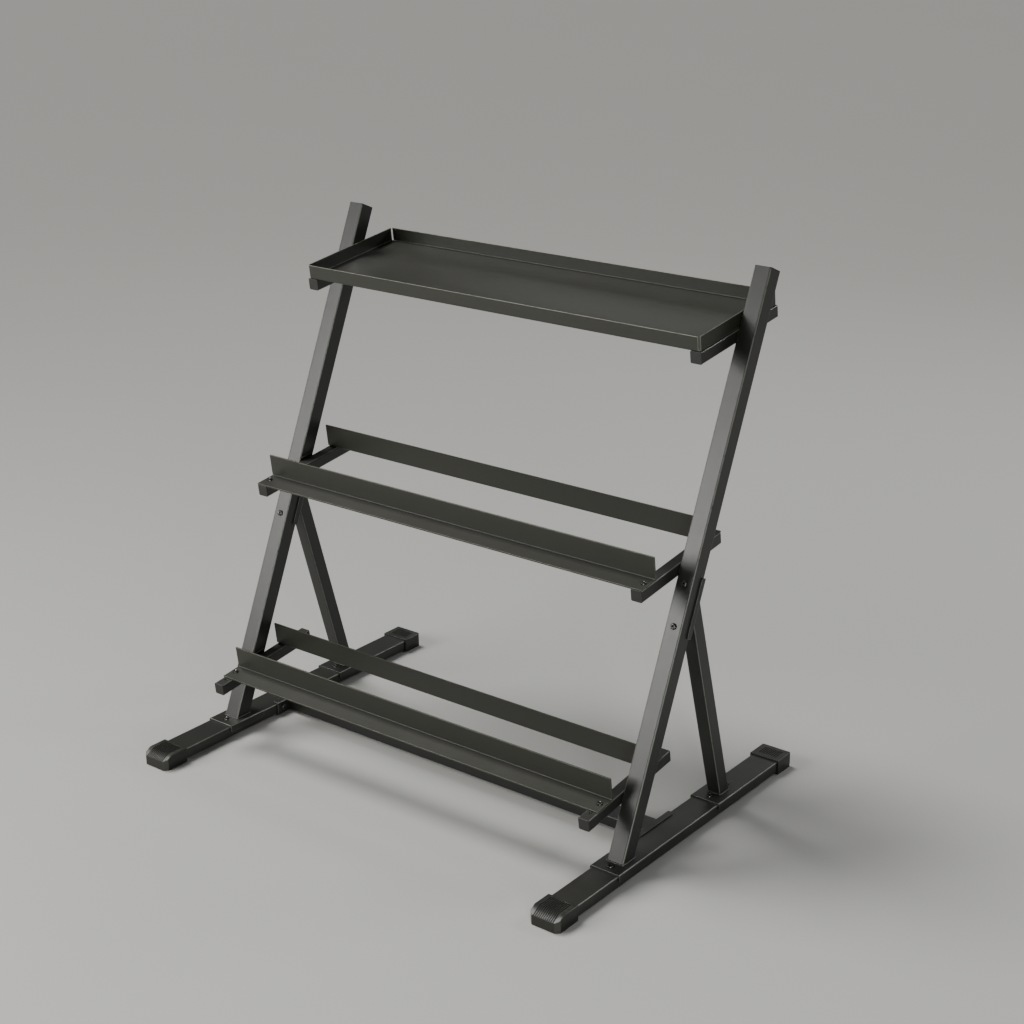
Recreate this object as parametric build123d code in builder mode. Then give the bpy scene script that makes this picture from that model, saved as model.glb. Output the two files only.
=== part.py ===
"""Three-tier dumbbell rack: two leaning posts on base tubes, a top tray and two pairs of angle rails.

Millimetres. +X is to the right, +Y to the rear and +Z up. The origin is on the floor, under the
middle of the rack.
"""
import os
from math import cos, radians, sin, sqrt

from build123d import *

# Overall size
overall_width = 880.0
overall_depth = 660.0
overall_height = 880.0

# Base tubes and the ribbed plastic feet over their ends
base_wide, base_high = 50.0, 20.0
base_wall, base_corner = 2.0, 3.0
foot_wide, foot_high = 55.0, 26.0
foot_sole = 3.0
foot_length = {"front": 49.0, "rear": 41.0}
foot_end_wall = {"front": 15.0, "rear": 6.0}
foot_nose_height, foot_nose_run = 17.0, 16.0
foot_corner = {"front": 6.5, "rear": 2.0}
foot_bevel = 1.0
foot_rib_count = {"front": 10, "rear": 8}
foot_rib_pitch = {"front": 3.5, "rear": 3.9}
foot_groove_width, foot_groove_depth = 1.7, 1.2
foot_margin = {"front": 4.0, "rear": 9.5}
foot_far_margin = 8.0

# Folded U brackets, the same pattern at every bolted joint
plate = 2.5
bend = 3.0
flange_depth = 10.0
flange_corner = 4.0
saddle_length, saddle_bolt_reach = 80.0, 26.0
bracket_length, bracket_bolt_reach = 96.0, 33.5

# Leaning posts
post_size, post_wall, post_corner = 30.0, 2.0, 3.0
post_lean = 23.3
post_foot_y = -133.0
post_saddle_y = -135.5

# Rear braces
brace_size, brace_wall, brace_corner = 25.0, 1.6, 2.5
brace_lean = 16.0
brace_foot_y = 143.5
bracket_height = 397.0

# Arms on the inner faces of the posts, each placed by the front edge of its top face as (y, z)
arm_size, arm_wall, arm_corner = 20.0, 1.5, 2.5
arm_length = 220.0
arm_tilt = 7.5
arm_fronts = {"bottom": (-197.5, 113.0), "middle": (-69.5, 440.0), "top": (75.5, 773.5)}

# Plastic caps in the open tube ends
cap_plate, cap_plug, cap_plug_wall, cap_edge = 2.0, 12.0, 1.6, 0.7

# Angle rails that carry the dumbbells
rail_leg, rail_thick, rail_bend = 40.0, 2.5, 3.0
rail_insets = {"bottom": 23.0, "middle": 0.0}
hole_inset = 19.5

# Folded sheet tray on the top arms
tray_sheet, tray_height, tray_bend = 1.5, 24.0, 2.5
tray_gap = 2.0
tray_relief = 3.0

# Crossbar between the base tubes
crossbar_wide, crossbar_high = 40.0, 20.0
crossbar_y = -12.0

# M6 button head bolts and nuts
bolt_r, clear_r = 3.0, 3.25
head_r, head_rise, bolt_tip = 5.25, 3.3, 0.6
socket_across, socket_deep = 4.0, 2.0
nut_across, nut_thick, nut_chamfer = 10.0, 5.0, 0.6
bolt_proud = 1.5

# Lines that several parts share
side_x = (overall_width - foot_wide) / 2
base_top = foot_sole + base_high
base_middle = foot_sole + base_high / 2
saddle_top = base_top + plate
base_inner_x = side_x - base_wide / 2
post_inner_x = side_x - post_size / 2
arm_x = post_inner_x - arm_size / 2
rail_length = 2 * post_inner_x
tray_width = 2 * (post_inner_x - tray_gap)
run_out = 40.0

sides = {"left": -1, "right": 1}
ends = {"front": -1, "rear": 1}
across = Vector(1, 0, 0)
post_up = Vector(0, sin(radians(post_lean)), cos(radians(post_lean)))
post_back = Vector(0, cos(radians(post_lean)), -sin(radians(post_lean)))
brace_up = Vector(0, -sin(radians(brace_lean)), cos(radians(brace_lean)))
arm_along = Vector(0, cos(radians(arm_tilt)), sin(radians(arm_tilt)))
arm_normal = Vector(0, -sin(radians(arm_tilt)), cos(radians(arm_tilt)))
post_reach = (overall_height - saddle_top - post_back.Z * -post_size / 2) / post_up.Z
bracket_bolt_heights = [bracket_height - bracket_bolt_reach, bracket_height + bracket_bolt_reach]
bracket_holes = [(0, -bracket_bolt_reach), (0, bracket_bolt_reach)]
saddle_ys = {"post": post_saddle_y, "brace": brace_foot_y}
saddle_bolt_ys = [y + reach for y in saddle_ys.values() for reach in (-saddle_bolt_reach, saddle_bolt_reach)]

os.makedirs("parts", exist_ok=True)


def save(piece, name):
    """Label a finished piece and write its STEP file."""
    piece.label = name
    export_step(piece, f"parts/{name}.step")


# Planes on the leaning and tilted members


def post_section(side, height):
    """Plane across a post's axis, height above its foot; its y points to the rear of the post."""
    foot = Vector(side * side_x, post_foot_y, saddle_top)
    return Plane(origin=foot + post_up * height, x_dir=across, z_dir=post_up)


def post_face(side, height, depth, out):
    """Plane parallel to a post's front and rear faces, depth behind its axis; out turns its normal."""
    origin = post_section(side, height).origin + post_back * depth
    return Plane(origin=origin, x_dir=across, z_dir=post_back * out)


def arm_deck(tier, x, along):
    """Plane on an arm's top face, along millimetres behind its front end; its y runs to the rear."""
    front = Vector(x, *arm_fronts[tier])
    return Plane(origin=front + arm_along * along, x_dir=across, z_dir=arm_normal)


def arm_section(tier, x, along, out=1):
    """Plane across an arm's axis, along millimetres behind its front end; out 1 looks to the rear."""
    axis = arm_deck(tier, x, along).offset(-arm_size / 2).origin
    return Plane(origin=axis, x_dir=across, z_dir=arm_along * out)


def crossbar_seat(side):
    """Plane on a base tube's inner face at the crossbar, looking in; its y runs along the tube."""
    return Plane(origin=(side * base_inner_x, crossbar_y, base_middle), x_dir=(0, 0, 1), z_dir=(-side, 0, 0))


def rail_hole(tier, end):
    """Distance from an arm's front end to the bolt of its front or rear rail."""
    reach = rail_insets[tier] + hole_inset
    return reach if end == "front" else arm_length - reach


def arm_holes(tier):
    """Distances from an arm's front end to the threaded holes in its top face."""
    if tier == "top":
        return []
    used = [rail_hole(tier, "front"), rail_hole(tier, "rear")]
    spare = [hole_inset, arm_length - hole_inset] if tier == "bottom" else []
    return used + spare


# Patterns that several parts share


def tube_profile(wide, high, wall, corner):
    """Rounded rectangular tube section in the active sketch."""
    RectangleRounded(wide, high, corner)
    RectangleRounded(wide - 2 * wall, high - 2 * wall, corner - wall, mode=Mode.SUBTRACT)


def tube_cap(face, size, wall, corner):
    """Square cap whose plate lies on a tube's end, with a hollow plug down the tube."""
    bore = size - 2 * wall
    with BuildPart() as cap:
        with BuildSketch(face):
            RectangleRounded(size, size, corner)
        extrude(amount=cap_plate)
        fillet(faces().sort_by_distance(face.offset(cap_plate).origin)[0].edges(), cap_edge)
        with BuildSketch(face):
            RectangleRounded(bore, bore, corner - wall)
            Rectangle(bore - 2 * cap_plug_wall, bore - 2 * cap_plug_wall, mode=Mode.SUBTRACT)
        extrude(amount=-cap_plug)
    return cap.part


def u_bracket(seat, wide, length, bolt_reach):
    """Channel folded over a member: its web lies on the seat plane, its flanges run down both sides."""
    outer = wide + 2 * plate
    with BuildPart() as bracket:
        with BuildSketch(Plane(origin=seat.origin, x_dir=seat.x_dir, z_dir=seat.y_dir)):
            with Locations((0, (flange_depth - plate) / 2)):
                Rectangle(outer, flange_depth + plate)
            fillet(vertices().group_by(Axis.Y)[0], bend)
            with Locations((0, flange_depth / 2)):
                Rectangle(wide, flange_depth, mode=Mode.SUBTRACT)
        extrude(amount=length / 2, both=True)
        with BuildSketch(Plane(origin=seat.origin, x_dir=seat.y_dir, z_dir=seat.x_dir)):
            with Locations((0, (plate - flange_depth) / 2)):
                Rectangle(length, flange_depth + plate)
            fillet(vertices().group_by(Axis.Y)[0], flange_corner)
        extrude(amount=outer / 2, both=True, mode=Mode.INTERSECT)
        with Locations(seat.offset(plate)):
            with Locations((0, -bolt_reach), (0, bolt_reach)):
                Hole(clear_r, depth=plate)
    return bracket.part


def button_bolt(length):
    """Button head bolt seated on Z = 0, its shank running down and its hexagon socket opening up."""
    dome_r = (head_r ** 2 + head_rise ** 2) / (2 * head_rise)
    with BuildPart() as bolt:
        with BuildSketch(Plane.XZ):
            with BuildLine():
                Polyline((0, head_rise), (0, -length), (bolt_r - bolt_tip, -length),
                         (bolt_r, bolt_tip - length), (bolt_r, 0), (head_r, 0))
                RadiusArc((head_r, 0), (0, head_rise), -dome_r)
            make_face()
        revolve(axis=Axis.Z)
        with BuildSketch(Plane.XY.offset(head_rise)):
            RegularPolygon(socket_across / sqrt(3), 6)
        extrude(amount=-socket_deep, mode=Mode.SUBTRACT)
    return bolt.part


def hex_nut():
    """Hexagon nut hanging under Z = 0, its corners taken off at the free end."""
    corner_r = nut_across / sqrt(3)
    with BuildPart() as nut:
        with BuildSketch(Plane.XZ):
            Polygon((0, 0), (corner_r, 0), (corner_r, nut_chamfer - nut_thick),
                    (corner_r - 2 * nut_chamfer, -nut_thick), (0, -nut_thick), align=None)
        revolve(axis=Axis.Z)
        with BuildSketch():
            RegularPolygon(corner_r, 6)
            Circle(bolt_r, mode=Mode.SUBTRACT)
        extrude(amount=-nut_thick, mode=Mode.INTERSECT)
    return nut.part


def group(pattern, planes):
    """Copies of one fastener, one on each plane, as the separate solids of one node."""
    with BuildPart() as fasteners:
        with Locations(*[Location(plane) for plane in planes]):
            add(pattern)
    return fasteners.part


# Base: two tubes, four ribbed feet, the crossbar and its brackets


def foot(side, end):
    """Plastic foot over a tube's end: ribs left between grooves, and at the front a sloping nose."""
    out = ends[end]
    x = side * side_x
    tip = out * overall_depth / 2
    heel = tip - out * foot_length[end]
    groove_start = heel + out * foot_margin[end]
    groove_floor = foot_high - foot_groove_depth
    if end == "front":
        nose = tip - out * foot_nose_run
        upper = [(tip, foot_nose_height), (nose, foot_high), (heel, foot_high)]
        groove = [(groove_start, groove_floor), (nose, groove_floor),
                  (tip, foot_nose_height - foot_groove_depth),
                  (tip, foot_high + 1), (groove_start, foot_high + 1)]
    else:
        groove_stop = tip - out * foot_far_margin
        upper = [(tip, foot_high), (heel, foot_high)]
        groove = [(groove_start, groove_floor), (groove_stop, groove_floor),
                  (groove_stop, foot_high + 1), (groove_start, foot_high + 1)]
    lowered = [(y, z - foot_bevel) for y, z in upper]
    crown = foot_wide / 2 - foot_bevel
    with BuildPart() as piece:
        with BuildSketch(Plane.YZ.offset(x)):
            Polygon((heel, 0), (tip, 0), *upper, align=None)
        extrude(amount=crown, both=True)
        for hand in sides.values():
            with BuildSketch(Plane.YZ.offset(x + hand * crown)):
                Polygon((heel, 0), (tip, 0), *upper, align=None)
            with BuildSketch(Plane.YZ.offset(x + hand * foot_wide / 2)):
                Polygon((heel, 0), (tip, 0), *lowered, align=None)
            loft(ruled=True)
        with BuildSketch():
            with Locations((x, (tip + heel) / 2)):
                Rectangle(foot_wide, foot_length[end])
            chamfer(vertices().sort_by(Axis.Y, reverse=out > 0)[0:2], foot_corner[end])
        extrude(amount=foot_high, mode=Mode.INTERSECT)
        for number in range(foot_rib_count[end] + 1):
            groove_x = x + (number - foot_rib_count[end] / 2) * foot_rib_pitch[end]
            with BuildSketch(Plane.YZ.offset(groove_x)):
                Polygon(*groove, align=None)
            extrude(amount=foot_groove_width / 2, both=True, mode=Mode.SUBTRACT)
        with BuildSketch(Plane(origin=(x, heel, base_middle), x_dir=across, z_dir=(0, out, 0))):
            RectangleRounded(base_wide, base_high, base_corner)
        extrude(amount=foot_length[end] - foot_end_wall[end], mode=Mode.SUBTRACT)
    return piece.part


def base_tube(side):
    """Flat rectangular tube along Y, drilled for the saddles and the crossbar bracket."""
    x = side * side_x
    front = foot_end_wall["front"] - overall_depth / 2
    rear = overall_depth / 2 - foot_end_wall["rear"]
    with BuildPart() as tube:
        with BuildSketch(Plane(origin=(x, front, base_middle), x_dir=across, z_dir=(0, 1, 0))):
            tube_profile(base_wide, base_high, base_wall, base_corner)
        extrude(amount=rear - front)
        with Locations(*[(x, y, base_top) for y in saddle_bolt_ys]):
            Hole(clear_r, depth=base_wall)
        with Locations(crossbar_seat(side)):
            with Locations(*bracket_holes):
                Hole(clear_r, depth=base_wall)
    return tube.part


def crossbar():
    """Rectangular tube between the webs of the two crossbar brackets."""
    reach = base_inner_x - plate
    with BuildPart() as bar:
        with BuildSketch(Plane(origin=(-reach, crossbar_y, base_middle), x_dir=(0, 1, 0), z_dir=across)):
            tube_profile(crossbar_wide, crossbar_high, base_wall, base_corner)
        extrude(amount=2 * reach)
    return bar.part


for name, side in sides.items():
    save(base_tube(side), f"base_tube_{name}")
    for end in ends:
        save(foot(side, end), f"foot_{end}_{name}")
    save(u_bracket(crossbar_seat(side), base_high, bracket_length, bracket_bolt_reach),
         f"crossbar_bracket_{name}")
    for member, y in saddle_ys.items():
        saddle_seat = Plane(origin=(side * side_x, y, base_top))
        save(u_bracket(saddle_seat, base_wide, saddle_length, saddle_bolt_reach), f"{member}_saddle_{name}")
save(crossbar(), "crossbar")


# Frame: two posts, their caps, the rear braces and the brackets that join them


def post(side):
    """Leaning square tube, cut level on its saddle and square at the top."""
    with BuildPart() as tube:
        with BuildSketch(post_section(side, -run_out)):
            tube_profile(post_size, post_size, post_wall, post_corner)
        extrude(amount=post_reach - cap_plate + run_out)
        split(bisect_by=Plane.XY.offset(saddle_top), keep=Keep.TOP)
        with Locations(*[post_face(side, height, -post_size / 2, -1).location
                         for height in bracket_bolt_heights]):
            Hole(clear_r, depth=post_size)
    return tube.part


def brace(side):
    """Square tube from the rear saddle up to the bracket behind the post, cut to fit both."""
    foot_point = Vector(side * side_x, brace_foot_y, saddle_top)
    section = Plane(origin=foot_point - brace_up * run_out, x_dir=across, z_dir=brace_up)
    web = post_face(side, bracket_height, post_size / 2 + plate, 1)
    with BuildPart() as tube:
        with BuildSketch(section):
            tube_profile(brace_size, brace_size, brace_wall, brace_corner)
        extrude(amount=bracket_height + 2 * run_out)
        split(bisect_by=Plane.XY.offset(saddle_top), keep=Keep.TOP)
        split(bisect_by=web, keep=Keep.TOP)
    return tube.part


for name, side in sides.items():
    save(post(side), f"post_{name}")
    save(tube_cap(post_section(side, post_reach - cap_plate), post_size, post_wall, post_corner),
         f"post_cap_{name}")
    save(brace(side), f"brace_{name}")
    brace_seat = post_face(side, bracket_height, post_size / 2, 1)
    save(u_bracket(brace_seat, post_size, bracket_length, bracket_bolt_reach), f"brace_bracket_{name}")


# Tiers: six arms with capped ends, four angle rails and the tray


def arm(tier, side):
    """Square tube welded to a post's inner face, drilled through its top wall for the rails."""
    x = side * arm_x
    with BuildPart() as tube:
        with BuildSketch(arm_section(tier, x, cap_plate)):
            tube_profile(arm_size, arm_size, arm_wall, arm_corner)
        extrude(amount=arm_length - 2 * cap_plate)
        for along in arm_holes(tier):
            with Locations(arm_deck(tier, x, along).location):
                Hole(clear_r, depth=arm_wall)
    return tube.part


def arm_caps(tier, side):
    """The two caps of one arm."""
    x = side * arm_x
    faces = [arm_section(tier, x, cap_plate, -1), arm_section(tier, x, arm_length - cap_plate, 1)]
    with BuildPart() as caps:
        for face in faces:
            add(tube_cap(face, arm_size, arm_wall, arm_corner))
    return caps.part


def rail(tier, end):
    """Angle rail: a flat leg bolted on two arms and an upright leg along its inner edge."""
    flat_edge = rail_insets[tier]
    corner = flat_edge + rail_leg
    points = [(flat_edge, 0), (corner, 0), (corner, rail_leg), (corner - rail_thick, rail_leg),
              (corner - rail_thick, rail_thick), (flat_edge, rail_thick)]
    if end == "rear":
        points = [(arm_length - along, up) for along, up in points]
    start = arm_deck(tier, -rail_length / 2, 0)
    with BuildPart() as angle:
        with BuildSketch(Plane(origin=start.origin, x_dir=arm_along, z_dir=across)):
            Polygon(*points, align=None)
            fillet(vertices().sort_by_distance(points[1])[0], rail_bend)
            fillet(vertices().sort_by_distance(points[4])[0], rail_bend - rail_thick + 0.5)
        extrude(amount=rail_length)
        for side in sides.values():
            with Locations(arm_deck(tier, side * arm_x, rail_hole(tier, end)).offset(rail_thick).location):
                Hole(clear_r, depth=rail_thick)
    return angle.part


def tray():
    """Shallow folded pan on the top arms, with its four walls open at the corners."""
    deck = arm_deck("top", 0, 0)
    folds = [
        (Plane(origin=deck.origin, x_dir=deck.y_dir, z_dir=across), arm_length / 2, arm_length, tray_width),
        (Plane(origin=deck.origin + arm_along * arm_length / 2, x_dir=-across, z_dir=arm_along),
         0, tray_width, arm_length),
    ]
    with BuildPart() as pan:
        for plane, middle, span, run in folds:
            with BuildSketch(plane):
                with Locations((middle, tray_height / 2)):
                    Rectangle(span, tray_height)
                fillet(vertices().group_by(Axis.Y)[0], tray_bend)
                with BuildSketch(mode=Mode.SUBTRACT):
                    with Locations((middle, tray_height / 2 + tray_sheet)):
                        Rectangle(span - 2 * tray_sheet, tray_height)
                    fillet(vertices().group_by(Axis.Y)[0], tray_bend - tray_sheet)
            extrude(amount=run / 2 - tray_relief, both=True)
    return pan.part


for tier in arm_fronts:
    for name, side in sides.items():
        save(arm(tier, side), f"arm_{tier}_{name}")
        save(arm_caps(tier, side), f"arm_caps_{tier}_{name}")
for tier in rail_insets:
    for end in ends:
        save(rail(tier, end), f"rail_{tier}_{end}")
save(tray(), "tray")


# Fasteners: every bolt with the nut it turns into

tube_seats = [Plane(origin=(side * side_x, y, base_top)) for side in sides.values() for y in saddle_bolt_ys]
crossbar_seats = [crossbar_seat(side) for side in sides.values()]
crossbar_planes = [Plane(origin=seat.from_local_coords((*spot, 0)), x_dir=seat.x_dir, z_dir=seat.z_dir)
                   for seat in crossbar_seats for spot in bracket_holes]
post_spots = [(side, height) for side in sides.values() for height in bracket_bolt_heights]
rail_decks = [arm_deck(tier, side * arm_x, rail_hole(tier, end))
              for tier in rail_insets for side in sides.values() for end in ends]
arm_decks = [arm_deck(tier, side * arm_x, along)
             for tier in arm_fronts for side in sides.values() for along in arm_holes(tier)]

base_bolt = button_bolt(plate + base_wall + nut_thick + bolt_proud)
post_bolt = button_bolt(post_size + plate + nut_thick + bolt_proud)
rail_bolt = button_bolt(rail_thick + arm_wall + nut_thick + bolt_proud)
nut = hex_nut()

save(group(base_bolt, [seat.offset(plate) for seat in tube_seats]), "saddle_bolts")
save(group(nut, [seat.offset(-base_wall) for seat in tube_seats]), "saddle_nuts")
save(group(base_bolt, [seat.offset(plate) for seat in crossbar_planes]), "crossbar_bolts")
save(group(nut, [seat.offset(-base_wall) for seat in crossbar_planes]), "crossbar_nuts")
save(group(post_bolt, [post_face(side, height, -post_size / 2, -1) for side, height in post_spots]),
     "brace_bolts")
save(group(nut, [post_face(side, height, post_size / 2 + plate, -1) for side, height in post_spots]),
     "brace_nuts")
save(group(rail_bolt, [deck.offset(rail_thick) for deck in rail_decks]), "rail_bolts")
save(group(nut, [deck.offset(-arm_wall) for deck in arm_decks]), "arm_nuts")
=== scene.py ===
"""Looks of a three tier dumbbell rack: powder coated tube frame, angle rails, folded tray, plastic feet.

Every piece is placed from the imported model. Lengths are metres.
"""

import math

import bmesh
import bpy
import numpy as np
from bpy.props import FloatProperty, FloatVectorProperty, IntProperty, PointerProperty
from mathutils import Matrix, Vector


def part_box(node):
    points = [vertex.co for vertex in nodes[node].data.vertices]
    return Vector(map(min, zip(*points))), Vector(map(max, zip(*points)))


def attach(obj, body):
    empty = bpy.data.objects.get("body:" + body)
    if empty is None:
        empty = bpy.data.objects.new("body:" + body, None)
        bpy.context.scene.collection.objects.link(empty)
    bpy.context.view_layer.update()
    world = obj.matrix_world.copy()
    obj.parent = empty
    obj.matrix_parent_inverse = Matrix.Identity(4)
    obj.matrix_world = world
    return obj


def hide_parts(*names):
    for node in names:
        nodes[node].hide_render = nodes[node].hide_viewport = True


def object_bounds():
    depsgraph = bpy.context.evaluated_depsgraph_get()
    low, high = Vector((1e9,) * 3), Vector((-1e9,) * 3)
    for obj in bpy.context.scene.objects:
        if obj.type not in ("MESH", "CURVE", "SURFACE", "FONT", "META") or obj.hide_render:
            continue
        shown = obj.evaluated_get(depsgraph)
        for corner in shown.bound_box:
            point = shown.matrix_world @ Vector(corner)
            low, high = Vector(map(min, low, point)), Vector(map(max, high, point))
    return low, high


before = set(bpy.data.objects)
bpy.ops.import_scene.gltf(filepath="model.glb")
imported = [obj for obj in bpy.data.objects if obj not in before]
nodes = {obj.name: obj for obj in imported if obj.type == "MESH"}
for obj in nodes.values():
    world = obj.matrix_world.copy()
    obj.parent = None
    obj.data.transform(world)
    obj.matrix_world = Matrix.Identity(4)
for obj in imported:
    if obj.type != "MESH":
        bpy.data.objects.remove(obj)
cad_low, cad_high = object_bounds()
rack_middle = (cad_low + cad_high) / 2

bl_info = {
    "name": "Dumbbell rack looks",
    "version": (1, 0, 0),
    "blender": (4, 5, 0),
    "location": "3D View > Sidebar > Rack",
    "description": "Builds the visible pieces and finishes of a three tier dumbbell rack",
    "category": "Object",
}

BODY = "root"
SIDES = ("left", "right")
TIERS = ("bottom", "middle", "top")
UP = Vector((0, 0, 1))


# ---------------------------------------------------------------------------------------------
# Sizes and colours that a user would change
# ---------------------------------------------------------------------------------------------


def length(name, description, default):
    return FloatProperty(
        name=name, description=description, default=default, min=0.0,
        subtype="DISTANCE", unit="LENGTH", precision=5,
    )


def colour(name, description, default):
    return FloatVectorProperty(
        name=name, description=description, default=default, size=3, min=0.0, max=1.0, subtype="COLOR"
    )


def share(name, description, default):
    return FloatProperty(
        name=name, description=description, default=default, min=0.0, max=1.0, subtype="FACTOR"
    )


def power(name, description, default):
    return FloatProperty(name=name, description=description, default=default, unit="POWER")


def angle(name, description, degrees):
    return FloatProperty(
        name=name, description=description, default=math.radians(degrees), subtype="ANGLE"
    )


class RackFinish(bpy.types.PropertyGroup):
    frame_coat: colour("Frame coat", "Powder coat of the tubes and brackets", (0.0120, 0.0123, 0.0108))
    shelf_coat: colour("Shelf coat", "Powder coat of the rails and the tray", (0.0178, 0.0185, 0.0140))
    coat_roughness: share("Coat roughness", "How matt the powder coat is", 0.36)
    foot_plastic: colour("Foot plastic", "Moulded plastic of the feet", (0.0085, 0.0088, 0.0072))
    cap_plastic: colour("Cap plastic", "Moulded plastic of the tube caps", (0.0130, 0.0133, 0.0118))
    bolt_steel: colour("Bolt steel", "Blackened steel of the bolts", (0.014, 0.014, 0.0135))
    nut_zinc: colour("Nut zinc", "Zinc plating of the nuts", (0.34, 0.345, 0.34))


class RackEdges(bpy.types.PropertyGroup):
    sheet: length("Sheet edge", "Rounding of cut sheet edges", 0.0006)
    plate: length("Plate edge", "Rounding of bracket edges", 0.0008)
    moulded: length("Moulded edge", "Rounding of the ribs and edges of the feet", 0.0003)
    weld: length("Weld leg", "Leg length of the weld beads", 0.0020)


class RackFasteners(bpy.types.PropertyGroup):
    head_radius: length("Head radius", "Radius of a button head", 0.00525)
    head_rise: length("Head rise", "Height of a button head", 0.0033)
    shank_radius: length("Shank radius", "Outer radius of the thread", 0.003)
    thread_pitch: length("Thread pitch", "Height of one turn of thread", 0.001)
    thread_depth: length("Thread depth", "Depth of the thread", 0.00045)
    socket_across: length("Socket across flats", "Width of the hexagon socket", 0.004)
    socket_deep: length("Socket depth", "Depth of the hexagon socket", 0.002)
    nut_across: length("Nut across flats", "Width of a hexagon nut", 0.010)
    round_steps: IntProperty(
        name="Round steps", description="Facets round a bolt or a nut", default=48, min=24
    )


class RackStage(bpy.types.PropertyGroup):
    floor_colour: colour("Floor colour", "Plain pale studio floor", (0.345, 0.345, 0.335))
    floor_radius: length("Floor radius", "Radius of the studio floor", 400.0)
    key_power: power("Key power", "Large soft box, low at the front left", 122.0)
    side_power: power("Side power", "Narrow light at the front right, for the edges", 34.0)
    rim_power: power("Rim power", "Narrow light at the rear right, for the edges", 30.0)
    back_power: power("Back power", "Low strip at the rear, for the level tops", 8.0)
    sun_strength: FloatProperty(
        name="Sun strength", description="Soft light from above left, in watts a square metre", default=3.1
    )
    sun_softness: angle("Sun softness", "Angle the overhead light covers", 24)
    world_strength: FloatProperty(
        name="Room light", description="Even light of the room", default=0.08, min=0.0
    )
    camera_place: FloatVectorProperty(
        name="Camera place",
        description="Where the camera stands",
        default=(1.8716, -2.2682, 1.5334),
        subtype="XYZ",
    )
    camera_turn: angle("Camera turn", "Turn of the view to the left", 37.97)
    camera_drop: angle("Camera drop", "Tilt of the view downwards", 20.11)
    camera_roll: angle("Camera roll", "Roll about the view", -0.25)
    camera_lens: FloatProperty(
        name="Camera lens", description="Focal length in millimetres", default=67.93
    )


GROUPS = (
    ("rack_finish", RackFinish),
    ("rack_edges", RackEdges),
    ("rack_fasteners", RackFasteners),
    ("rack_stage", RackStage),
)


# ---------------------------------------------------------------------------------------------
# Materials
# ---------------------------------------------------------------------------------------------


class Signal:
    """One shader socket. Arithmetic on it adds Math nodes."""

    def __init__(self, recipe, socket):
        self.recipe, self.socket = recipe, socket

    def maths(self, operation, *values):
        return self.recipe.add("ShaderNodeMath", {"operation": operation}, dict(enumerate(values)))

    def __add__(self, other):
        return self.maths("ADD", self, other)

    __radd__ = __add__

    def __sub__(self, other):
        return self.maths("SUBTRACT", self, other)

    def __rsub__(self, other):
        return self.maths("SUBTRACT", other, self)

    def __mul__(self, other):
        return self.maths("MULTIPLY", self, other)

    __rmul__ = __mul__

    def __pow__(self, other):
        return self.maths("POWER", self, other)

    def __abs__(self):
        return self.maths("ABSOLUTE", self)

    def most(self, other):
        return self.maths("MAXIMUM", self, other)

    def step(self, low, high):
        """0 below low, 1 above high, smooth between."""
        return self.recipe.add(
            "ShaderNodeMapRange",
            {"interpolation_type": "SMOOTHSTEP"},
            {"Value": self, "From Min": low, "From Max": high, "To Min": 0.0, "To Max": 1.0},
        )


class Recipe:
    """One material, made node by node."""

    def __init__(self, name):
        self.material = bpy.data.materials.new(name)
        self.material.use_nodes = True
        self.tree = self.material.node_tree
        self.tree.nodes.clear()
        self.place = self.add("ShaderNodeTexCoord", output="Object")

    def add(self, kind, settings=None, sockets=None, output=0):
        node = self.tree.nodes.new(kind)
        for key, value in (settings or {}).items():
            setattr(node, key, value)
        for key, value in (sockets or {}).items():
            if isinstance(value, Signal):
                self.tree.links.new(value.socket, node.inputs[key])
            else:
                node.inputs[key].default_value = value
        return Signal(self, node.outputs[output])

    def noise(self, scale, detail=3.0, rough=0.55, where=None):
        return self.add(
            "ShaderNodeTexNoise",
            {"noise_dimensions": "3D"},
            {"Vector": where or self.place, "Scale": scale, "Detail": detail, "Roughness": rough},
        )

    def cells(self, scale):
        return self.add(
            "ShaderNodeTexVoronoi",
            {"feature": "SMOOTH_F1"},
            {"Vector": self.place, "Scale": scale, "Smoothness": 0.7},
        )

    def stretched(self, scale):
        return self.add(
            "ShaderNodeMapping", {"vector_type": "POINT"}, {"Vector": self.place, "Scale": scale}
        )

    def blend(self, factor, under, over):
        """Colour under where the factor is 0, over where it is 1."""
        return self.add("ShaderNodeMix", {"data_type": "RGBA"}, {0: factor, 6: under, 7: over}, output=2)

    def facing(self, axis):
        """One component of the surface normal."""
        normal = self.add("ShaderNodeNewGeometry", output="Normal")
        return self.add("ShaderNodeSeparateXYZ", None, {0: normal}, output=axis)

    def edge(self):
        """1 on rounded edges: the marked strips, and the tube corners beside the faces across X."""
        marked = self.add("ShaderNodeAttribute", {"attribute_name": "rounded_edge"}, output="Fac")
        side = abs(self.facing("X"))
        corner = 2.0 * side * ((1.0 - side * side).most(0.0) ** 0.5)
        return marked.most(corner.step(0.50, 0.95))

    def bump(self, height, strength, distance, under=None):
        sockets = {"Height": height, "Strength": strength, "Distance": distance}
        if under is not None:
            sockets["Normal"] = under
        return self.add("ShaderNodeBump", None, sockets)

    def finish(self, **sockets):
        names = {key.replace("_", " "): value for key, value in sockets.items()}
        shader = self.add("ShaderNodeBsdfPrincipled", None, names)
        end = self.tree.nodes.new("ShaderNodeOutputMaterial")
        self.tree.links.new(shader.socket, end.inputs["Surface"])
        return self.material


def shade(tint, factor):
    return (*(channel * factor for channel in tint), 1.0)


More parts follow.
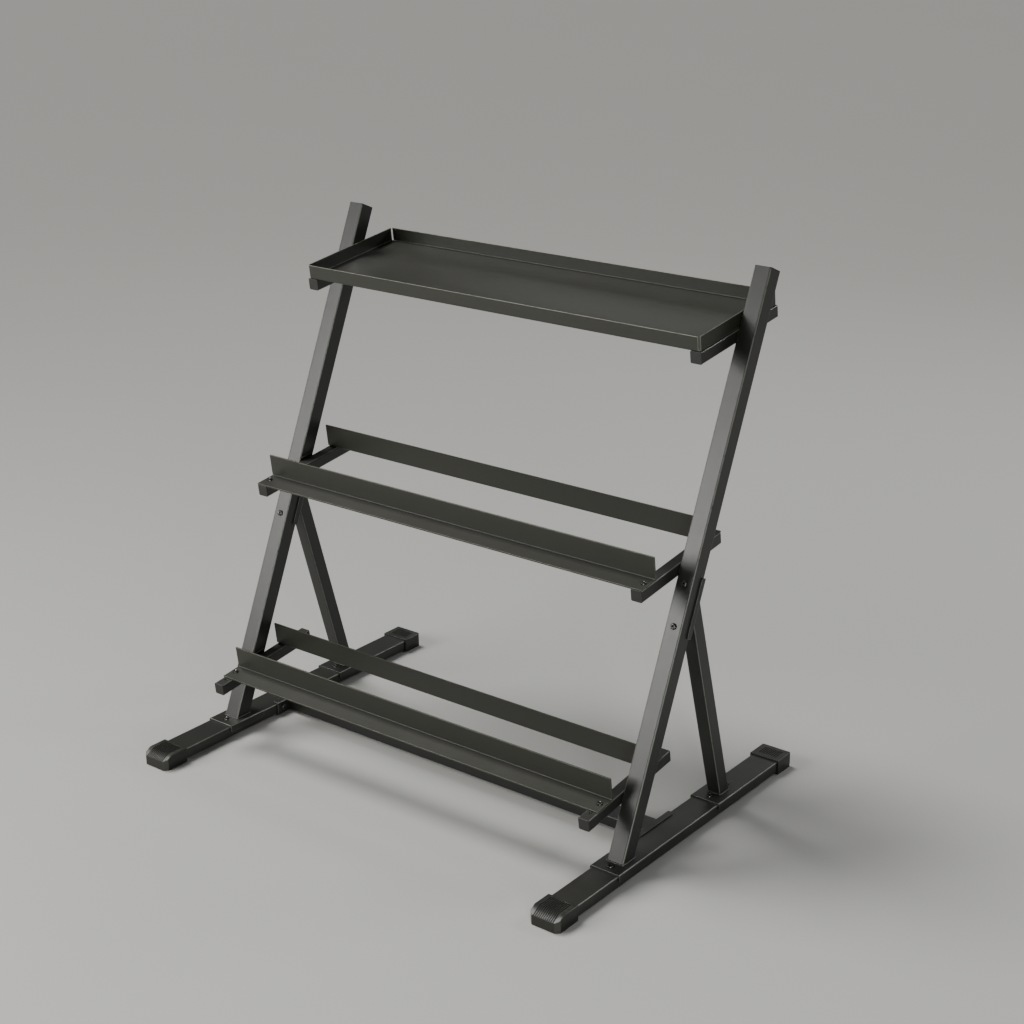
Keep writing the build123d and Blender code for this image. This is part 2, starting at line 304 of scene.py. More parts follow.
def powder_coat(name, tint, roughness):
    """Satin powder coat: fine orange peel, soft mottling, rounded edges lightened as painted highlight
    that partly also reads as edge wear, a little dust on top.
    """
    r = Recipe(name)
    mottle = r.noise(9.0, 4.0)
    cloud = r.noise(60.0, 4.0, 0.6)
    peel = r.noise(620.0, 2.0)
    grain = r.cells(1500.0)
    fleck = r.noise(2600.0, 1.0).step(0.62, 0.74)
    # painted highlight: rounded edges and tube corners are lightened where the lamps would glint, broken
    # by noise so that it partly reads as edge wear
    edge = r.edge() * r.noise(120.0, 3.0).step(0.12, 0.50)
    dust = r.facing("Z").step(0.55, 0.95) * r.noise(7.0, 5.0, 0.65).step(0.42, 0.78)
    scuff = r.noise(34.0, 6.0, 0.7).step(0.66, 0.74) * 0.35
    base = r.blend(mottle * 0.5 + cloud * 0.5, shade(tint, 0.92), shade(tint, 1.09))
    base = r.blend(fleck * 0.30, base, shade(tint, 1.9))
    base = r.blend(dust * 0.05, base, (0.120, 0.118, 0.104, 1.0))
    base = r.blend(scuff * 0.25, base, shade(tint, 2.2))
    # painted highlight and edge wear: the edges go to eleven times the coat's colour
    base = r.blend(edge * 0.85, base, shade(tint, 11.0))
    rough = roughness - 0.03 + cloud * 0.06 + mottle * 0.02
    rough = rough + dust * 0.03 - edge * 0.06 + scuff * 0.10
    normal = r.bump(peel, 0.22, 0.00030)
    normal = r.bump(grain, 0.16, 0.00012, normal)
    return r.finish(Base_Color=base, Roughness=rough, Normal=normal, Specular_IOR_Level=0.42)


def foot_plastic(name, tint):
    """Moulded plastic: fine sparked grain, rib edges lightened as painted highlight, hollows darkened and
    roughened as painted shade, a little dust on top.
    """
    r = Recipe(name)
    cloud = r.noise(70.0, 4.0)
    spark = r.cells(1700.0)
    # mask of the faces in hollows, where shade is painted
    hollow_shade = r.add("ShaderNodeAttribute", {"attribute_name": "hollow_shade"}, output="Fac")
    # painted highlight on the rib tops and edges of the foot
    edge = r.edge() * (0.75 + r.noise(90.0, 3.0) * 0.4)
    dust = r.facing("Z").step(0.60, 0.98) * r.noise(90.0, 5.0, 0.7).step(0.44, 0.74)
    base = r.blend(cloud, shade(tint, 0.80), shade(tint, 1.25))
    base = r.blend(dust * 0.18, base, (0.115, 0.112, 0.098, 1.0))
    # painted highlight: the edges go to six and a half times the plastic's colour
    base = r.blend(edge * 0.60, base, shade(tint, 6.5))
    # painted shade: faces in the hollows go to a quarter of the plastic's colour, and the next line makes
    # them rougher
    base = r.blend(hollow_shade * 0.75, base, shade(tint, 0.25))
    rough = 0.35 + cloud * 0.08 + dust * 0.08 - edge * 0.05 + hollow_shade * 0.40
    normal = r.bump(spark, 0.30, 0.00015)
    normal = r.bump(cloud, 0.10, 0.00040, normal)
    return r.finish(Base_Color=base, Roughness=rough, Normal=normal, Specular_IOR_Level=0.42)


def cap_plastic(name, tint):
    """Pressed-in polyethylene caps: a slightly waxy skin with a faint grain."""
    r = Recipe(name)
    cloud = r.noise(110.0, 4.0)
    grain = r.noise(1500.0, 2.0)
    edge = r.edge() * r.noise(300.0, 2.0).step(0.35, 0.65)
    nicks = r.noise(420.0, 5.0, 0.75).step(0.66, 0.74)
    base = r.blend(cloud, shade(tint, 0.82), shade(tint, 1.20))
    base = r.blend(edge * 0.5 + nicks * 0.2, base, shade(tint, 2.6))
    rough = 0.44 + cloud * 0.10 + nicks * 0.12
    normal = r.bump(grain, 0.25, 0.00012)
    return r.finish(Base_Color=base, Roughness=rough, Normal=normal, Specular_IOR_Level=0.42)


def blackened_steel(name, tint):
    """Oil-blackened bolts, rubbed bright on the edges of the head and the socket."""
    r = Recipe(name)
    cloud = r.noise(420.0, 4.0)
    turned = r.noise(1.0, 3.0, 0.6, r.stretched((900.0, 900.0, 5200.0)))
    edge = r.edge() * r.noise(900.0, 3.0).step(0.32, 0.62)
    base = r.blend(cloud, shade(tint, 0.72), shade(tint, 1.35))
    base = r.blend(edge * 0.60, base, (0.30, 0.295, 0.28, 1.0))
    rough = 0.30 + cloud * 0.16 - edge * 0.06
    normal = r.bump(turned, 0.10, 0.00005)
    return r.finish(Base_Color=base, Roughness=rough, Normal=normal, Metallic=0.9)


def zinc_plate(name, tint):
    """Bright zinc with a faint blue and straw passivation."""
    r = Recipe(name)
    cloud = r.noise(260.0, 4.0)
    tone = r.noise(90.0, 2.0)
    pits = r.noise(2400.0, 3.0)
    blue = (tint[0] * 0.86, tint[1] * 0.92, tint[2] * 1.06, 1.0)
    straw = (tint[0] * 1.05, tint[1] * 0.97, tint[2] * 0.80, 1.0)
    base = r.blend(tone, blue, shade(tint, 1.12))
    base = r.blend(cloud.step(0.55, 0.75) * 0.35, base, straw)
    rough = 0.26 + cloud * 0.20
    normal = r.bump(pits, 0.14, 0.00005)
    return r.finish(Base_Color=base, Roughness=rough, Normal=normal, Metallic=1.0)


def studio_paint(name, tint):
    """Plain matt floor paint with a barely visible roller texture."""
    r = Recipe(name)
    roller = r.noise(160.0, 3.0)
    drift = r.noise(0.8, 2.0)
    base = r.blend(drift, shade(tint, 0.985), shade(tint, 1.015))
    normal = r.bump(roller, 0.06, 0.0008)
    return r.finish(Base_Color=base, Roughness=0.78 + roller * 0.08, Normal=normal)


def finish_of(slot):
    """The material of one slot of the record, made the first time it is asked for."""
    name = "rack_" + slot
    if name in bpy.data.materials:
        return bpy.data.materials[name]
    f = bpy.context.scene.rack_finish
    if slot == "black_coat":
        return powder_coat(name, f.frame_coat, f.coat_roughness)
    if slot == "charcoal_coat":
        return powder_coat(name, f.shelf_coat, f.coat_roughness + 0.03)
    if slot == "foot_plastic":
        return foot_plastic(name, f.foot_plastic)
    if slot == "cap_plastic":
        return cap_plastic(name, f.cap_plastic)
    if slot == "black_bolts":
        return blackened_steel(name, f.bolt_steel)
    if slot == "zinc_nuts":
        return zinc_plate(name, f.nut_zinc)
    raise RuntimeError(f"no finish is made for the slot {slot}")


# ---------------------------------------------------------------------------------------------
# Mesh helpers
# ---------------------------------------------------------------------------------------------


def named(prefix):
    """The CAD nodes whose names start with a prefix, in order."""
    found = sorted(name for name in nodes if name.startswith(prefix))
    if not found:
        raise RuntimeError(f"the frame has no node that starts with {prefix}")
    return found


def fresh(name):
    """Removes an earlier object of this name, so that an operator can run again."""
    old = bpy.data.objects.get(name)
    if old is not None:
        bpy.data.objects.remove(old)


def add_piece(name, bm, slot, stands_for=(), crease=35.0, even=True):
    """Makes an object from a bmesh, gives it its finish, and lets it ride on the rack."""
    fresh(name)
    mesh = bpy.data.meshes.new(name)
    bm.to_mesh(mesh)
    bm.free()
    mesh.polygons.foreach_set("use_smooth", [True] * len(mesh.polygons))
    mesh.set_sharp_from_angle(angle=math.radians(crease))
    piece = bpy.data.objects.new(name, mesh)
    bpy.context.scene.collection.objects.link(piece)
    if even:
        weights = piece.modifiers.new("Even shading", "WEIGHTED_NORMAL")
        weights.keep_sharp = True
        weights.weight = 60
    mesh.materials.append(finish_of(slot))
    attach(piece, BODY)
    if stands_for:
        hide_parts(*stands_for)
    return piece


def welded_copy(node):
    """A bmesh of a CAD node with its seams joined and its flat areas made whole."""
    bm = bmesh.new()
    bm.from_mesh(nodes[node].data)
    bmesh.ops.remove_doubles(bm, verts=bm.verts, dist=2e-6)
    bmesh.ops.dissolve_limit(
        bm, angle_limit=math.radians(0.6), use_dissolve_boundaries=False, verts=bm.verts, edges=bm.edges
    )
    return bm


def round_edges(bm, width, angle=38.0, steps=2, choose=None):
    """Rounds the hard edges and marks the new strips for the finish."""
    limit = math.radians(angle)
    hard = [
        e
        for e in bm.edges
        if len(e.link_faces) == 2 and e.calc_face_angle(0.0) > limit and (choose is None or choose(e))
    ]
    mark = bm.faces.layers.float.new("rounded_edge")
    made = bmesh.ops.bevel(
        bm, geom=hard, offset=width, offset_type="OFFSET", segments=steps, profile=0.5, affect="EDGES",
        clamp_overlap=True,
    )
    for face in made["faces"]:
        if face.is_valid:
            face[mark] = 1.0
    bm.normal_update()


def mark_hollows(bm):
    """Marks the faces that lie in a recess, where the foot's finish paints shade: some corner of the piece
    stands in front of them.
    """
    mark = bm.faces.layers.float.new("hollow_shade")
    corners = [v.co.copy() for v in bm.verts]
    for face in bm.faces:
        middle = face.calc_center_median()
        face[mark] = float(any((corner - middle).dot(face.normal) > 0.0003 for corner in corners))


def islands(node):
    """The separate solids of a CAD node as point arrays with their faces' normals and areas."""
    bm = bmesh.new()
    bm.from_mesh(nodes[node].data)
    bmesh.ops.remove_doubles(bm, verts=bm.verts, dist=2e-6)
    left, found = set(bm.verts), []
    while left:
        stack = [left.pop()]
        island = set(stack)
        while stack:
            for e in stack.pop().link_edges:
                for v in e.verts:
                    if v not in island:
                        island.add(v)
                        stack.append(v)
        left -= island
        faces = {f for v in island for f in v.link_faces}
        found.append(
            (
                np.array([v.co for v in island], float),
                np.array([f.normal for f in faces], float),
                np.array([f.calc_area() for f in faces], float),
            )
        )
    bm.free()
    return sorted(found, key=lambda island: tuple(np.round(island[0].mean(0), 3)))


def spin_axis(points, normals, areas):
    """Axis, foot and head of a turned or six-sided solid: (place matrix, length)."""
    spread, axes = np.linalg.eigh((normals * areas[:, None]).T @ normals)
    lone = 0 if abs(spread[1] - spread[0]) > abs(spread[2] - spread[1]) else 2
    z = axes[:, lone]
    along = points @ z
    low, high = along.min(), along.max()
    across = points - np.outer(along, z)

    def reach(chosen):
        return np.linalg.norm(across[chosen] - across[chosen].mean(0), axis=1).max()

    third = (high - low) / 3
    if reach(along < low + third) > reach(along > high - third) + 1e-5:
        z, low, high = -z, -high, -low
    x = np.cross(z, (0.0, 1.0, 0.0) if abs(z[1]) < 0.8 else (1.0, 0.0, 0.0))
    x /= np.linalg.norm(x)
    y = np.cross(z, x)
    middle = sum(axis * ((points @ axis).min() + (points @ axis).max()) / 2 for axis in (x, y))
    place = Matrix((x, y, z)).transposed().to_4x4()
    place.translation = Vector(middle + z * high)
    return place, high - low


def ring(bm, points):
    return [bm.verts.new(p) for p in points]


def skin(bm, a, b, mark=None, value=0.0):
    """Faces between two closed rings of the same number of points."""
    count = len(a)
    for i in range(count):
        j = (i + 1) % count
        face = bm.faces.new((a[i], a[j], b[j], b[i]))
        if mark is not None:
            face[mark] = value


def circle(radius, z, count):
    turn = [2 * math.pi * i / count for i in range(count)]
    return [(radius * math.cos(t), radius * math.sin(t), z) for t in turn]


def hexagon_reach(across, turn):
    """Distance from the middle to the side of a hexagon in one direction."""
    sector = math.pi / 3
    return across / 2 / math.cos((turn + sector / 2) % sector - sector / 2)


def hexagon(across, z, count):
    turn = [2 * math.pi * i / count for i in range(count)]
    return [
        (hexagon_reach(across, t) * math.cos(t), hexagon_reach(across, t) * math.sin(t), z) for t in turn
    ]


def stretch_of_thread(bm, start, low, high, radius, depth, pitch, count, mark):
    """A helical thread between two heights, going down from the ring start; returns its last ring."""
    steps = max(2, round((high - low) / pitch * 6))
    above = start
    for k in range(1, steps + 1):
        z = high + (low - high) * k / steps
        points = []
        for i in range(count):
            phase = (z / pitch - i / count) % 1.0
            fade = min(1.0, (high - z) / pitch, (z - low) / pitch * 2 + 0.2)
            r = radius - depth * fade * (1.0 - abs(2.0 * phase - 1.0))
            t = 2 * math.pi * i / count
            points.append((r * math.cos(t), r * math.sin(t), z))
        below = ring(bm, points)
        skin(bm, below, above, mark, 0.0)
        above = below
    return above


# Small shapes of a turned bolt and nut, in metres or as shares
SOCKET_RIM = 1.30
SOCKET_CONE = 0.00045
SOCKET_CHAMFER = 0.00030
DOME_SHARE = 0.88
DOME_STEPS = 10
DOME_FLATNESS = 2.4
DOME_CURVE = 0.928
HEAD_CHAMFER = 0.00012
PLAIN_NECK = 0.0008
THREAD_LONG = 0.012
TIP_CHAMFER = 0.0006
NUT_CHAMFER_SLOPE = math.radians(28)
NUT_THREAD_STEPS = 30
BORE_CHAMFER = 0.0004


def move_new(bm, start, place):
    """Moves the corners made since the count start to their place."""
    bm.verts.ensure_lookup_table()
    for v in bm.verts[start:]:
        v.co = place @ v.co


def button_bolt(bm, mark, place, size, length_all):
    """A button head bolt with a hexagon socket: its top is at z = 0 of place and it points down."""
    n = size.round_steps
    start = len(bm.verts)
    deep, across = size.socket_deep, size.socket_across
    rise, head, shank = size.head_rise, size.head_radius, size.shank_radius
    rim = across / 2 * SOCKET_RIM
    brim = -rise * DOME_SHARE
    floor_middle = bm.verts.new((0, 0, -deep - SOCKET_CONE))
    floor = ring(bm, hexagon(across * 0.93, -deep, n))
    for i in range(n):
        bm.faces.new((floor_middle, floor[i], floor[(i + 1) % n]))
    above = floor
    for points, edge in (
        (hexagon(across, -deep + 0.0001, n), 0.0),
        (hexagon(across, -SOCKET_CHAMFER, n), 0.0),
        (circle(rim, -0.00004, n), 1.0),
    ):
        below = ring(bm, points)
        skin(bm, above, below, mark, edge)
        above = below
    for k in range(1, DOME_STEPS + 1):
        t = k / DOME_STEPS
        # a flattened dome that turns down to the bearing rim
        z = brim * (1 - math.sqrt(max(0.0, 1 - t**DOME_FLATNESS))) ** DOME_CURVE
        below = ring(bm, circle(rim + (head - rim) * t, z if t < 1 else brim, n))
        skin(bm, above, below, mark, 1.0 if k == 1 else 0.0)
        above = below
    thread_top = -max(rise + PLAIN_NECK, length_all - THREAD_LONG)
    for radius, z, edge in (
        (head, -rise + HEAD_CHAMFER, 0.6),
        (head - HEAD_CHAMFER, -rise, 0.6),
        (shank, -rise, 0.0),
        (shank, thread_top, 0.0),
    ):
        below = ring(bm, circle(radius, z, n))
        skin(bm, above, below, mark, edge)
        above = below
    tip = stretch_of_thread(
        bm, above, TIP_CHAMFER - length_all, thread_top, shank,
        size.thread_depth, size.thread_pitch, n, mark,
    )
    end = ring(bm, circle(shank - TIP_CHAMFER, -length_all, n))
    skin(bm, end, tip, mark, 0.7)
    bm.faces.new(list(reversed(end)))
    move_new(bm, start, place)


def hexagon_nut(bm, mark, place, size, high):
    """A chamfered hexagon nut with a threaded bore: its top is at z = 0 of place."""
    n = size.round_steps
    start = len(bm.verts)
    across = size.nut_across
    inside = size.shank_radius - size.thread_depth * 0.6
    face_radius = across / 2 * 0.97
    slope = math.tan(NUT_CHAMFER_SLOPE)

    def outline(top):
        points = []
        for i in range(n):
            t = 2 * math.pi * i / n
            reach = hexagon_reach(across, t)
            drop = max(0.0, reach - face_radius) * slope
            z = -drop if top else -high + drop
            points.append((reach * math.cos(t), reach * math.sin(t), z))
        return points

    bore_top = ring(bm, circle(inside + BORE_CHAMFER, 0.0, n))
    face_top = ring(bm, circle(face_radius, 0.0, n))
    skin(bm, bore_top, face_top, mark, 0.0)
    side_top = ring(bm, outline(True))
    skin(bm, face_top, side_top, mark, 0.8)
    side_low = ring(bm, outline(False))
    skin(bm, side_top, side_low, mark, 0.0)
    face_low = ring(bm, circle(face_radius, -high, n))
    skin(bm, side_low, face_low, mark, 0.8)
    bore_low = ring(bm, circle(inside + BORE_CHAMFER, -high, n))
    skin(bm, face_low, bore_low, mark, 0.0)
    above = bore_top
    steps = NUT_THREAD_STEPS
    for k in range(1, steps):
        z = -high * k / steps
        fade = min(1.0, k / 3, (steps - k) / 3)
        points = []
        for i in range(n):
            phase = (z / size.thread_pitch - i / n) % 1.0
            rise = size.thread_depth * fade * (1.0 - abs(2.0 * phase - 1.0)) * 0.7
            r = inside + BORE_CHAMFER * (1 - fade) + rise
            t = 2 * math.pi * i / n
            points.append((r * math.cos(t), r * math.sin(t), z))
        below = ring(bm, points)
        skin(bm, below, above, mark, 0.0)
        above = below
    skin(bm, bore_low, above, mark, 0.0)
    move_new(bm, start, place)


def wobble(step, salt):
    """A small repeatable unevenness between -1 and 1."""
    return math.sin(step * 12.9898 + salt * 78.233) * 0.6 + math.sin(step * 4.898 + salt * 3.11) * 0.4


def weld_bead(bm, mark, path, outward, upward, leg, closed, salt):
    """A rippled fillet bead along a path. outward and upward give its two legs at each point."""
    count = len(path)
    profile = 7
    rings = []
    for k, (p, o, u) in enumerate(zip(path, outward, upward)):
        wave = math.sin(k * 2 * math.pi / 4.0 + 0.4 * wobble(k * 0.31, salt))
        ripple = 1.0 + 0.10 * wave + 0.07 * wobble(k * 0.9, salt)
        if not closed:
            near = min(k, count - 1 - k)
            ripple *= (0.35, 0.72, 0.92)[near] if near < 3 else 1.0
        size = leg * ripple
        row = [bm.verts.new(p - o * leg * 0.25 - u * leg * 0.25)]
        for j in range(profile):
            a = math.pi / 2 * j / (profile - 1)
            bulge = 0.86 + 0.10 * math.sin(2 * a)
            row.append(bm.verts.new(p + (o * math.cos(a) + u * math.sin(a)) * size * bulge))
        rings.append(row)
    pairs = list(zip(rings, rings[1:]))
    if closed:
        pairs.append((rings[-1], rings[0]))
    for a, b in pairs:
        skin(bm, a, b, mark, 0.0)
    if not closed:
        bm.faces.new(list(reversed(rings[0])))
        bm.faces.new(rings[-1])


def axis_of(node, which):
    """Middle of a tube and the direction of its length, on the side of which."""
    points = np.array([v.co for v in nodes[node].data.vertices], float)
    middle = points.mean(0)
    spread, axes = np.linalg.eigh(np.cov((points - middle).T))
    way = axes[:, 2]
    if way @ np.array(which) < 0:
        way = -way
    return Vector(middle), Vector(way)


# ---------------------------------------------------------------------------------------------
# Operators, one for each piece or group of like pieces
# ---------------------------------------------------------------------------------------------


def give(node, slot):
    """Puts a finish on a CAD node that keeps its shape."""
    obj = nodes[node]
    if not obj.material_slots:
        obj.data.materials.append(None)
    for entry in obj.material_slots:
        entry.link = "OBJECT"
        entry.material = finish_of(slot)


class RACK_OT_finish_tubes(bpy.types.Operator):
    """Powder coat on the posts, braces, arms, base tubes and crossbar"""

    bl_idname = "rack.finish_tubes"
    bl_label = "Coat the tubes"

    def execute(self, context):
        for prefix in ("post_left", "post_right", "brace_left", "brace_right", "base_tube", "crossbar"):
            for node in named(prefix):
                if "bracket" not in node and "bolts" not in node and "nuts" not in node:
                    give(node, "black_coat")
        for tier in TIERS:
            for side in SIDES:
                give(f"arm_{tier}_{side}", "black_coat")
        return {"FINISHED"}


class RACK_OT_make_plates(bpy.types.Operator):
    """Folded saddles and brackets with rounded edges"""

    bl_idname = "rack.make_plates"
    bl_label = "Fold the brackets"

    def execute(self, context):
        edges = context.scene.rack_edges
        for prefix in ("post_saddle", "brace_saddle", "brace_bracket", "crossbar_bracket"):
            for node in named(prefix):
                bm = welded_copy(node)
                round_edges(bm, edges.plate)
                add_piece("folded_" + node, bm, "black_coat", (node,))
        return {"FINISHED"}


class RACK_OT_make_rails(bpy.types.Operator):
    """Angle rails with rounded sheet edges"""

    bl_idname = "rack.make_rails"
    bl_label = "Fold the rails"

    def execute(self, context):
        edges = context.scene.rack_edges
        for tier in ("bottom", "middle"):
            for end in ("front", "rear"):
                node = f"rail_{tier}_{end}"
                bm = welded_copy(node)
                round_edges(bm, edges.sheet)
                add_piece(f"angle_{node}", bm, "charcoal_coat", (node,))
        return {"FINISHED"}


class RACK_OT_make_tray(bpy.types.Operator):
    """Folded sheet tray with rounded sheet edges"""

    bl_idname = "rack.make_tray"
    bl_label = "Fold the tray"

    def execute(self, context):
        bm = welded_copy("tray")
        round_edges(bm, context.scene.rack_edges.sheet)
        add_piece("folded_tray", bm, "charcoal_coat", ("tray",))
        return {"FINISHED"}


class RACK_OT_make_feet(bpy.types.Operator):
    """Ribbed plastic feet over the ends of the base tubes"""

    bl_idname = "rack.make_feet"
    bl_label = "Mould the feet"

    def execute(self, context):
        for node in named("foot_"):
            bm = welded_copy(node)
            bm.normal_update()
            mark_hollows(bm)
            round_edges(bm, context.scene.rack_edges.moulded, steps=3)
            add_piece("ribbed_" + node, bm, "foot_plastic", (node,))
        return {"FINISHED"}


class RACK_OT_make_caps(bpy.types.Operator):
    """Plastic caps in the ends of the arms and posts"""

    bl_idname = "rack.make_caps"
    bl_label = "Press in the caps"

    def execute(self, context):
        for node in named("arm_caps") + named("post_cap"):
            give(node, "cap_plastic")
        return {"FINISHED"}


class RACK_OT_make_bolts(bpy.types.Operator):
    """Button head bolts with hexagon sockets and threads"""

    bl_idname = "rack.make_bolts"
    bl_label = "Fit the bolts"

    def execute(self, context):
        size = context.scene.rack_fasteners
        for node in ("rail_bolts", "saddle_bolts", "brace_bolts", "crossbar_bolts"):
            bm = bmesh.new()
            mark = bm.faces.layers.float.new("rounded_edge")
            for island in islands(node):
                place, long = spin_axis(*island)
                button_bolt(bm, mark, place, size, long)
            bmesh.ops.recalc_face_normals(bm, faces=bm.faces)
            add_piece("socket_" + node, bm, "black_bolts", (node,), crease=40.0, even=False)
        return {"FINISHED"}


class RACK_OT_make_nuts(bpy.types.Operator):
    """Chamfered hexagon nuts"""

    bl_idname = "rack.make_nuts"
    bl_label = "Fit the nuts"

    def execute(self, context):
        size = context.scene.rack_fasteners
        for node in ("arm_nuts", "saddle_nuts", "brace_nuts", "crossbar_nuts"):
            bm = bmesh.new()
            mark = bm.faces.layers.float.new("rounded_edge")
            for island in islands(node):
                place, high = spin_axis(*island)
                hexagon_nut(bm, mark, place, size, high)
            bmesh.ops.recalc_face_normals(bm, faces=bm.faces)
            slot = "black_coat" if node == "arm_nuts" else "zinc_nuts"
            add_piece("hexagon_" + node, bm, slot, (node,), crease=24.0, even=False)
        return {"FINISHED"}


# Distance between a weld bead's rings, and how far an arm's beads stop short of the post's edges
BEAD_STEP = 0.0008
BEAD_STOP = 0.0035


def rounded_path(corners, radius, step):
    """Points and outward directions round a rectangle of four corners, each one rounded."""
    points, outward = [], []
    count = len(corners)
    for i in range(count):
        before, here, after = corners[i - 1], corners[i], corners[(i + 1) % count]
        a = (before - here).normalized()
        b = (after - here).normalized()
        centre = here + (a + b) * radius
        for k in range(5):
            turn = math.pi / 2 * k / 4
            way = (-b * math.cos(turn) - a * math.sin(turn)).normalized()
            points.append(centre + way * radius)
            outward.append(way)
        start, way = points[-1], outward[-1]
        span = (after - here).length - 2 * radius
        inner = max(1, int(span / step))
        along = (after - here).normalized()
        for k in range(1, inner):
            points.append(start + along * span * k / inner)
            outward.append(way)
    return points, outward


class RACK_OT_make_welds(bpy.types.Operator):
    """Coated weld beads where the tubes meet"""

    bl_idname = "rack.make_welds"
    bl_label = "Weld the tubes"

    def execute(self, context):
        leg = context.scene.rack_edges.weld
        for prefix, radius in (("post", 0.003), ("brace", 0.0025)):
            for side in SIDES:
                node = f"{prefix}_{side}"
                points = np.array([v.co for v in nodes[node].data.vertices], float)
                low = points[points[:, 2] < points[:, 2].min() + 1e-5]
                (x0, y0, z), (x1, y1, _) = low.min(0), low.max(0)
                corners = [Vector(c) for c in ((x0, y0, z), (x1, y0, z), (x1, y1, z), (x0, y1, z))]
                path, out = rounded_path(corners, radius, BEAD_STEP)
                bm = bmesh.new()
                mark = bm.faces.layers.float.new("rounded_edge")
                weld_bead(bm, mark, path, out, [UP] * len(path), leg, True, len(node))
                bmesh.ops.recalc_face_normals(bm, faces=bm.faces)
                add_piece(f"weld_{node}_foot", bm, "black_coat", crease=60.0, even=False)
        for tier in TIERS:
            for side in SIDES:
                self.arm_welds(tier, side, leg)
        return {"FINISHED"}

    def arm_welds(self, tier, side, leg):
        """Two beads, over and under the arm, along the post's inner face."""
        arm, post = f"arm_{tier}_{side}", f"post_{side}"
        sign = -1 if side == "left" else 1
        middle, way = axis_of(arm, (0, 1, 0))
        post_middle, post_way = axis_of(post, (0, 0, 1))
        low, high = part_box(arm)
        plane = high.x if sign > 0 else low.x
        deck = UP - way * UP.dot(way)
        deck.normalize()
        half_arm = (high.x - low.x) / 2
        post_low, post_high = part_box(post)
        half_post = (post_high.x - post_low.x) / 2
        across = Vector((0, post_way.z, -post_way.y))
        bm = bmesh.new()
        mark = bm.faces.layers.float.new("rounded_edge")
        for over in (1, -1):
            line = middle + deck * half_arm * over
            # where the arm's upper or lower line crosses the middle of the post
            offset = Vector((0, line.y - post_middle.y, line.z - post_middle.z))
            t = -offset.dot(across) / way.dot(across)
            centre = line + way * t
            half = half_post / abs(way.dot(across)) - BEAD_STOP
            count = max(8, int(2 * half / BEAD_STEP))
            spots = [centre + way * (half * (2 * k / count - 1)) for k in range(count + 1)]
            path = [Vector((plane, spot.y, spot.z)) for spot in spots]
            lifts, inwards = [deck * over] * len(path), [Vector((-sign, 0, 0))] * len(path)
            weld_bead(bm, mark, path, lifts, inwards, leg * 0.9, False, over + 5 * sign)
        bmesh.ops.recalc_face_normals(bm, faces=bm.faces)
        add_piece(f"weld_{arm}", bm, "black_coat", crease=60.0, even=False)


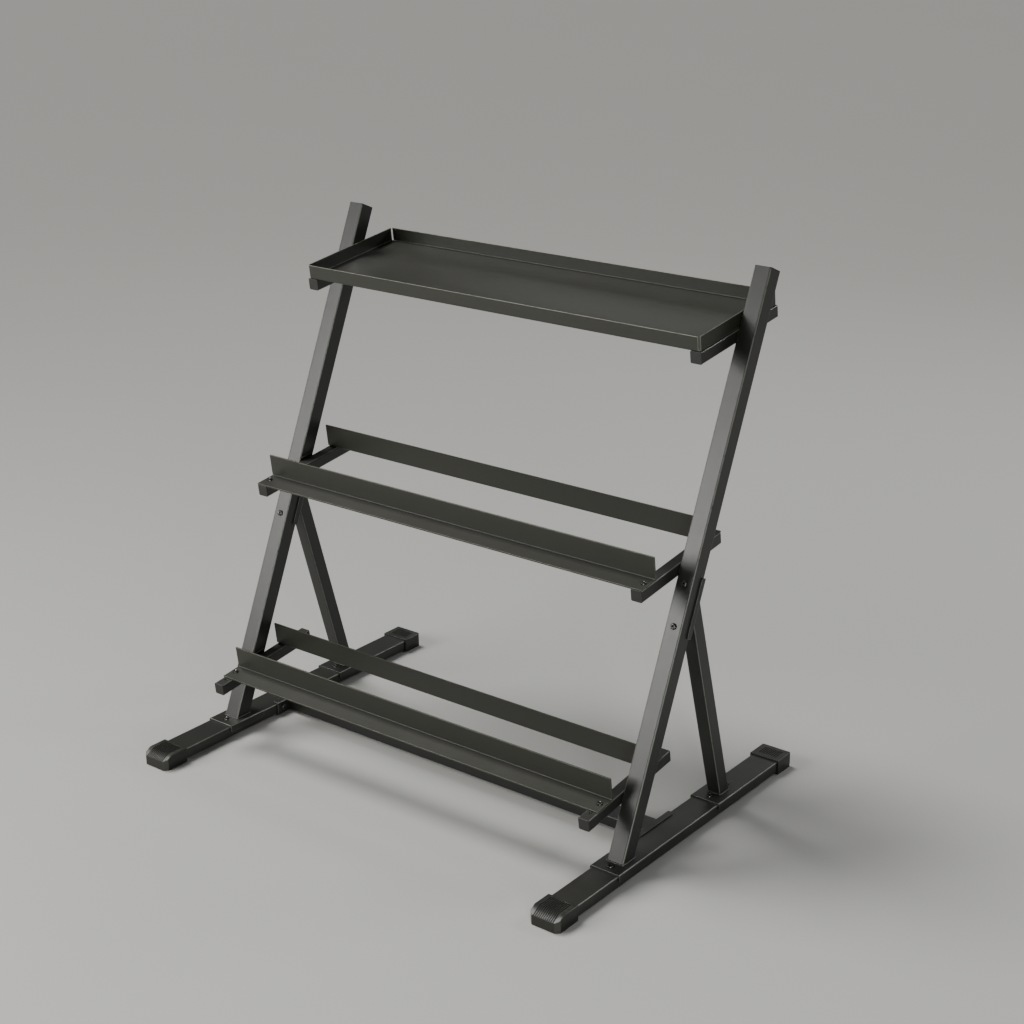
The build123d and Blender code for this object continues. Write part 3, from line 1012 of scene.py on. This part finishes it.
class RACK_OT_set_stage(bpy.types.Operator):
    """Pale floor, soft lights and the camera"""

    bl_idname = "rack.set_stage"
    bl_label = "Set the stage"

    def execute(self, context):
        s = context.scene.rack_stage
        self.floor(s)
        self.lights(context.scene, s)
        self.camera(context.scene, s)
        return {"FINISHED"}

    def floor(self, s):
        bm = bmesh.new()
        middle = bm.verts.new((0, 0, 0))
        last = None
        count = 96
        for radius in (1.0, 3.0, 9.0, 60.0, s.floor_radius):
            points = ring(bm, circle(radius, 0.0, count))
            if last is None:
                for i in range(count):
                    bm.faces.new((middle, points[i], points[(i + 1) % count]))
            else:
                skin(bm, last, points)
            last = points
        bmesh.ops.recalc_face_normals(bm, faces=bm.faces)
        bmesh.ops.translate(bm, verts=bm.verts, vec=(0, 0, cad_low.z))
        fresh("studio_floor")
        mesh = bpy.data.meshes.new("studio_floor")
        bm.to_mesh(mesh)
        bm.free()
        floor = bpy.data.objects.new("studio_floor", mesh)
        bpy.context.scene.collection.objects.link(floor)
        mesh.materials.append(studio_paint("studio_floor_paint", s.floor_colour))

    def soft_box(self, name, place, aim, width, height, watts, tint):
        fresh(name)
        light = bpy.data.lights.new(name, "AREA")
        light.shape = "RECTANGLE"
        light.size, light.size_y = width, height
        light.energy = watts
        light.color = tint
        lamp = bpy.data.objects.new(name, light)
        lamp.location = place
        lamp.rotation_euler = (Vector(aim) - Vector(place)).to_track_quat("-Z", "Y").to_euler()
        bpy.context.scene.collection.objects.link(lamp)

    def lights(self, scene, s):
        white, warm = (1.0, 1.0, 1.0), (1.0, 0.99, 0.965)
        for name, place, aim, width, height, watts, tint in (
            ("key_light", (-1.62, -2.55, 1.45), (0, 0, 0.42), 2.2, 1.25, s.key_power, warm),
            ("side_light", (2.25, -1.95, 0.80), rack_middle, 0.26, 1.4, s.side_power, white),
            ("rim_light", (1.9, 2.7, 2.3), rack_middle, 0.9, 0.35, s.rim_power, white),
            ("back_light", (-0.4, 2.9, 1.8), (0.1, 0, 0.3), 3.6, 0.5, s.back_power, white),
        ):
            self.soft_box(name, place, aim, width, height, watts, tint)
        fresh("sun_light")
        sun = bpy.data.lights.new("sun_light", "SUN")
        sun.energy, sun.angle = s.sun_strength, s.sun_softness
        sun.color = (1.0, 0.985, 0.955)
        lamp = bpy.data.objects.new("sun_light", sun)
        lamp.rotation_euler = Vector((0.50, -0.02, -0.88)).to_track_quat("-Z", "Y").to_euler()
        scene.collection.objects.link(lamp)
        world = bpy.data.worlds.new("studio_room")
        world.use_nodes = True
        back = world.node_tree.nodes["Background"]
        back.inputs["Color"].default_value = (0.80, 0.80, 0.78, 1.0)
        back.inputs["Strength"].default_value = s.world_strength
        scene.world = world

    def camera(self, scene, s):
        fresh("camera")
        data = bpy.data.cameras.new("camera")
        data.lens, data.sensor_width = s.camera_lens, 36.0
        data.clip_start, data.clip_end = 0.05, 900.0
        camera = bpy.data.objects.new("camera", data)
        turn, drop, roll = s.camera_turn, s.camera_drop, s.camera_roll
        level = math.cos(drop)
        ahead = Vector((-math.sin(turn) * level, math.cos(turn) * level, -math.sin(drop)))
        right = Vector((math.cos(turn), math.sin(turn), 0))
        above = right.cross(ahead)
        right, above = (
            right * math.cos(roll) + above * math.sin(roll),
            above * math.cos(roll) - right * math.sin(roll),
        )
        place = Matrix((right, above, -ahead)).transposed().to_4x4()
        place.translation = Vector(s.camera_place)
        camera.matrix_world = place
        scene.collection.objects.link(camera)
        scene.camera = camera


OPERATORS = (
    RACK_OT_finish_tubes,
    RACK_OT_make_plates,
    RACK_OT_make_rails,
    RACK_OT_make_tray,
    RACK_OT_make_feet,
    RACK_OT_make_caps,
    RACK_OT_make_bolts,
    RACK_OT_make_nuts,
    RACK_OT_make_welds,
    RACK_OT_set_stage,
)


class RACK_PT_sidebar(bpy.types.Panel):
    """The rack's sizes, colours and pieces"""

    bl_label = "Dumbbell rack"
    bl_idname = "RACK_PT_sidebar"
    bl_space_type = "VIEW_3D"
    bl_region_type = "UI"
    bl_category = "Rack"

    def draw(self, context):
        layout = self.layout
        for name, group in GROUPS:
            box = layout.box()
            for field in group.__annotations__:
                box.prop(getattr(context.scene, name), field)
        for operator in OPERATORS:
            layout.operator(operator.bl_idname)


def register():
    for name, group in GROUPS:
        bpy.utils.register_class(group)
        setattr(bpy.types.Scene, name, PointerProperty(type=group))
    for operator in OPERATORS:
        bpy.utils.register_class(operator)
    bpy.utils.register_class(RACK_PT_sidebar)


def unregister():
    bpy.utils.unregister_class(RACK_PT_sidebar)
    for operator in reversed(OPERATORS):
        bpy.utils.unregister_class(operator)
    for name, group in reversed(GROUPS):
        delattr(bpy.types.Scene, name)
        bpy.utils.unregister_class(group)


def main():
    register()
    for operator in OPERATORS:
        group, action = operator.bl_idname.split(".")
        getattr(getattr(bpy.ops, group), action)()


if __name__ == "__main__":
    main()
